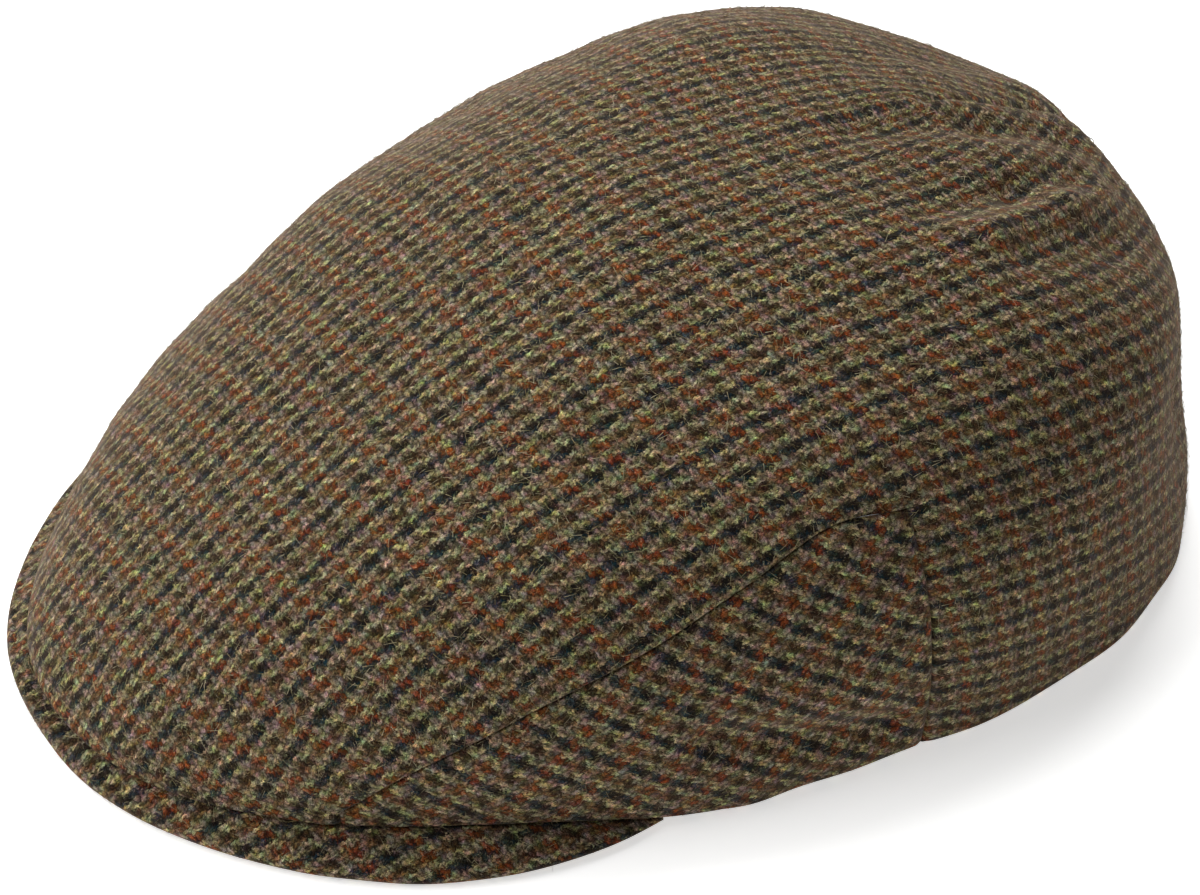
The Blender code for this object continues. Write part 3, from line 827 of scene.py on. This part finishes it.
def fibreTree():  # scatters bent, tapering fibres over the faces marked as hairy
    tree = bpy.data.node_groups.new("loose_fibres", "GeometryNodeTree")
    tree.interface.new_socket(name="Cloth", in_out="INPUT", socket_type="NodeSocketGeometry")
    for name in ("Per Area", "Length", "Thickness", "Bend", "Least Lift", "Most Lift"):
        tree.interface.new_socket(name=name, in_out="INPUT", socket_type="NodeSocketFloat")
    tree.interface.new_socket(name="Seed", in_out="INPUT", socket_type="NodeSocketInt")
    tree.interface.new_socket(name="Wool", in_out="INPUT", socket_type="NodeSocketMaterial")
    tree.interface.new_socket(name="Fibres", in_out="OUTPUT", socket_type="NodeSocketGeometry")
    given = add(tree, "NodeGroupInput").outputs
    long, seed = given["Length"], given["Seed"]
    hairy = add(tree, "GeometryNodeInputNamedAttribute", {"data_type": "BOOLEAN"}, {"Name": "hairy"})
    spots = add(tree, "GeometryNodeDistributePointsOnFaces", None, {
        "Mesh": given["Cloth"], "Selection": hairy.outputs[0], "Density": given["Per Area"], "Seed": seed,
    })
    radius = add(tree, maths, {"operation": "MULTIPLY"}, {0: given["Thickness"], 1: 0.5}).outputs[0]
    fibre = add(tree, "GeometryNodeMeshCone", None, {
        "Vertices": 3, "Side Segments": 2, "Radius Top": 0.0, "Radius Bottom": radius, "Depth": long,
    }).outputs[0]
    place = add(tree, "ShaderNodeSeparateXYZ", None, {0: add(tree, "GeometryNodeInputPosition").outputs[0]})
    share = add(tree, maths, {"operation": "DIVIDE"}, {0: place.outputs[2], 1: long}).outputs[0]
    curve = add(tree, maths, {"operation": "POWER"}, {0: share, 1: 2.0}).outputs[0]
    sideways = add(tree, maths, {"operation": "MULTIPLY"}, {0: curve, 1: given["Bend"]}).outputs[0]
    sideways = add(tree, maths, {"operation": "MULTIPLY"}, {0: sideways, 1: long}).outputs[0]
    offset = add(tree, "ShaderNodeCombineXYZ", None, {0: sideways}).outputs[0]
    fibre = add(tree, "GeometryNodeSetPosition", None, {"Geometry": fibre, "Offset": offset}).outputs[0]
    lean = []
    for lift, around in ((given["Most Lift"], 0.0), (given["Least Lift"], 2 * math.pi)):
        down = add(tree, maths, {"operation": "SUBTRACT"}, {0: math.pi / 2, 1: lift}).outputs[0]
        lean.append(add(tree, "ShaderNodeCombineXYZ", None, {1: down, 2: around}).outputs[0])
    lean = add(tree, "FunctionNodeRandomValue", {"data_type": "FLOAT_VECTOR"}, {
        "Min": lean[0], "Max": lean[1], "Seed": seed,
    }).outputs[0]
    lean = add(tree, "FunctionNodeEulerToRotation", None, {0: lean}).outputs[0]
    turned = add(tree, "FunctionNodeRotateRotation", {"rotation_space": "LOCAL"}, {
        0: spots.outputs["Rotation"], 1: lean,
    }).outputs[0]
    least, most = hairs["sizes"]
    size = add(tree, "FunctionNodeRandomValue", {"data_type": "FLOAT"}, {2: least, 3: most, "Seed": seed})
    spot = add(tree, "ShaderNodeSeparateXYZ", None, {0: add(tree, "GeometryNodeInputPosition").outputs[0]})
    room = add(tree, maths, {"operation": "MULTIPLY"}, {0: long, 1: hairs["rimRoom"]}).outputs[0]
    room = add(tree, maths, {"operation": "DIVIDE"}, {0: spot.outputs[2], 1: room}).outputs[0]
    room = add(tree, maths, {"operation": "MINIMUM"}, {0: room, 1: 1.0}).outputs[0]
    size = add(tree, maths, {"operation": "MULTIPLY"}, {0: size.outputs[1], 1: room}).outputs[0]
    placed = add(tree, "GeometryNodeInstanceOnPoints", None, {
        "Points": spots.outputs["Points"], "Instance": fibre, "Rotation": turned, "Scale": size,
    }).outputs[0]
    placed = add(tree, "GeometryNodeRealizeInstances", None, {0: placed}).outputs[0]
    placed = add(tree, "GeometryNodeSetMaterial", None, {"Geometry": placed, "Material": given["Wool"]})
    add(tree, "NodeGroupOutput", None, {0: placed.outputs[0]})
    return tree


def woolMaterial(name, colours):  # dull hair with a trace of gloss, paler and darker by turns
    material = bpy.data.materials.new(name)
    material.use_nodes = True
    tree = material.node_tree
    tree.nodes.clear()
    place = add(tree, "ShaderNodeTexCoord").outputs["Object"]
    shade = add(tree, noise, None, {"Vector": place, **hairs["shade"]}).outputs[0]
    shade = add(tree, spread, None, {0: shade, **hairs["shadeShare"]}).outputs[0]
    colour = add(tree, mix, {"data_type": "RGBA"}, {0: shade, 6: linear(colours[0]), 7: linear(colours[1])})
    shader = add(tree, "ShaderNodeBsdfPrincipled", None, {
        "Base Color": colour.outputs[2], "Roughness": 0.8, "Specular IOR Level": 0.2,
    })
    add(tree, "ShaderNodeOutputMaterial", None, {0: shader.outputs[0]})
    return material


def growFibres(name, cloth, tree, colours, seed):  # a plain mesh of the fibres on one piece of cloth
    piece = bpy.data.objects.new(name, cloth.data)
    bpy.context.scene.collection.objects.link(piece)
    modifier = piece.modifiers.new("fibres", "NODES")
    modifier.node_group = tree
    values = {
        "Per Area": 1 / (hairs["every"] * mm**2), "Length": hairs["long"] * mm,
        "Thickness": hairs["thick"] * mm, "Bend": hairs["bend"],
        "Least Lift": math.radians(hairs["lift"][0]), "Most Lift": math.radians(hairs["lift"][1]),
        "Seed": seed, "Wool": woolMaterial(name, colours),
    }
    for socket in tree.interface.items_tree:
        if socket.name in values:
            modifier[socket.identifier] = values[socket.name]
    made = bpy.data.meshes.new_from_object(piece.evaluated_get(bpy.context.evaluated_depsgraph_get()))
    piece.modifiers.remove(modifier)
    piece.data = made
    return piece


def cutSize(cloth):  # the width, length and area that its pattern has when laid flat
    place = np.zeros(len(cloth.data.loops) * 2, np.float32)
    cloth.data.uv_layers["cloth"].data.foreach_get("uv", place)
    place = place.reshape(-1, 2)
    area = 0
    for face in cloth.data.polygons:
        corner = place[list(face.loop_indices)]
        x, y = (corner - corner[0]).T
        area += abs(x @ np.roll(y, -1) - y @ np.roll(x, -1)) / 2
    wide, long = np.ptp(place, axis=0)
    return (float(wide), float(long)), float(area) / 2  # both skins lie on the one pattern


print("camera, floor and light")
camera = {  # matched to the seams and the outline
    "at": (0.67529, -0.32986, 0.64757),
    "azimuth": 63.864, "elevation": 39.563, "roll": -1.74,
    "lens": 127.428, "sensor": 36,
}
lens = bpy.data.cameras.new("camera")
lens.lens = camera["lens"]
lens.sensor_width = camera["sensor"]
eye = bpy.data.objects.new("camera", lens)
bpy.context.scene.collection.objects.link(eye)
bpy.context.scene.camera = eye
a, e = math.radians(camera["azimuth"]), math.radians(camera["elevation"])
back = Vector((math.sin(a) * math.cos(e), -math.cos(a) * math.cos(e), math.sin(e)))
eye.rotation_mode = "QUATERNION"
eye.location = camera["at"]
roll = Quaternion((0, 0, 1), math.radians(camera["roll"]))
eye.rotation_quaternion = (-back).to_track_quat("-Z", "Y") @ roll

studio = {
    "floor": "fdfdfc", "glow": 0.59,  # a matt white table, lit from below
    "world": 0.045,
    "lamps": [  # name, place, size, watts
        ("key_lamp", (-0.45, -1.2, 1.15), 1.3, 20),
        ("fill_lamp", (1.4, 0.1, 0.4), 1.2, 0.3),
        ("top_lamp", (-1.0, 0.45, 1.65), 1.3, 37),
    ],
}
mesh = bpy.data.meshes.new("floor")
mesh.from_pydata([(-4, -4, 0), (4, -4, 0), (4, 4, 0), (-4, 4, 0)], [], [(0, 1, 2, 3)])
floor = bpy.data.objects.new("floor", mesh)
bpy.context.scene.collection.objects.link(floor)
paint = bpy.data.materials.new("matt_white_floor")
paint.use_nodes = True
sockets = paint.node_tree.nodes["Principled BSDF"].inputs
sockets["Base Color"].default_value = linear(studio["floor"])
sockets["Roughness"].default_value = 0.9
sockets["Emission Color"].default_value = (1, 1, 1, 1)
sockets["Emission Strength"].default_value = studio["glow"]
mesh.materials.append(paint)
for name, at, size, watts in studio["lamps"]:
    lamp = bpy.data.lights.new(name, "AREA")
    lamp.shape = "DISK"
    lamp.size = size
    lamp.energy = watts
    holder = bpy.data.objects.new(name, lamp)
    bpy.context.scene.collection.objects.link(holder)
    holder.location = at
    holder.rotation_euler = (Vector((0, 0, 0.04)) - Vector(at)).to_track_quat("-Z", "Y").to_euler()
world = bpy.data.worlds.new("studio")
world.use_nodes = True
world.node_tree.nodes["Background"].inputs[0].default_value = (1, 1, 1, 1)
world.node_tree.nodes["Background"].inputs[1].default_value = studio["world"]
bpy.context.scene.world = world
bpy.context.scene.view_settings.view_transform = "Standard"

print("cloth")
pattern = crownPattern()
crownCloth = makeCrown()
leftCloth = makePanel("side_panel_left_cloth", 1)
rightCloth = makePanel("side_panel_right_cloth", -1)
peakCloth = makePeak()
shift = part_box("crown")[1][1] - max(vertex.co.y for vertex in crownCloth.data.vertices)
dress = [
    (crownCloth, "crown", "crown_tweed", tweed["skew"]),
    (leftCloth, "side_panel_left", "side_panel_tweed", 0.0),
    (rightCloth, "side_panel_right", "side_panel_tweed", 0.0),
    (peakCloth, "peak", "peak_tweed", tweed["peakSkew"]),
]
materials = {}
for cloth, node, slot, skew in dress:
    for vertex in cloth.data.vertices:
        vertex.co.y += shift
    if slot not in materials:
        materials[slot] = tweedMaterial(slot, skew)
    cloth.data.materials.append(materials[slot])
    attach(cloth, "root")
    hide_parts(node)
    print(cloth.name, len(cloth.data.polygons), "faces")

print("loose fibres")
tree = fibreTree()
slots = {cloth.name: (cloth, slot) for cloth, node, slot, skew in dress}
grown = {cloth.name: [] for cloth, node, slot, skew in dress}
for name, on, colours, seed in hairs["pieces"]:
    cloth, slot = slots[on]
    fibres = growFibres(name, cloth, tree, colours, seed)
    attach(fibres, "root")
    grown[on].append(fibres)
    print(name, len(fibres.data.polygons), "faces")
for cloth, sewnTo in ((crownCloth, peakCloth), (leftCloth, crownCloth), (rightCloth, crownCloth)):
    flat, area = cutSize(cloth)
    print(cloth.name, "cut to", [round(side / mm) for side in flat], "mm,", round(area * 1e4), "square cm")
